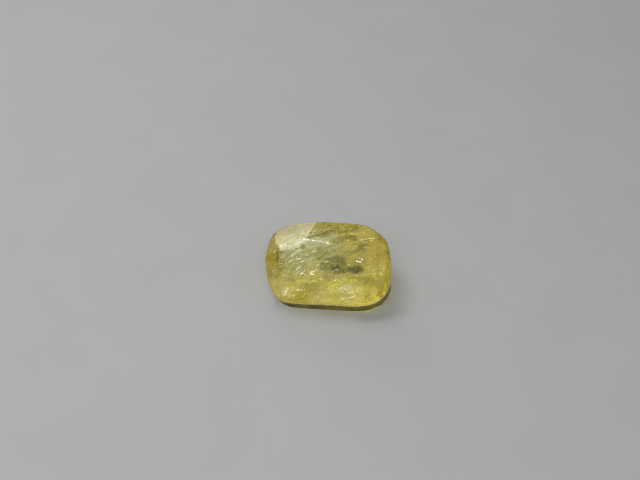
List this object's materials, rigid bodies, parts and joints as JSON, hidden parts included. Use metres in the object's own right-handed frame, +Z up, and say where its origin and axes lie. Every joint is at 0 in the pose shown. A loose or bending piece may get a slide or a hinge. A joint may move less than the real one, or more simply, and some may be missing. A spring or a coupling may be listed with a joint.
{
  "type": "yellow sapphire gemstone",
  "caption": "Loose cushion-cut yellow sapphire: a transparent crystal with a flat table, a stepped crown, a thick girdle and a keeled pavilion, lying on a pavilion facet.",
  "frame": {"origin": "on the ground, under the middle of the stone's bounding box", "axes": "+X along the stone's length, +Y away from the side that the table leans towards, +Z up; the stone lies on the broad near facet of its pavilion"},
  "size_m": [0.0106, 0.0076, 0.005],
  "materials": {
    "sapphire": "polished transparent corundum, pale to golden yellow, with healed feathers and small crystals inside"
  },
  "bodies": {
    "root": {"sapphire": "sapphire"}
  },
  "joints": []
}
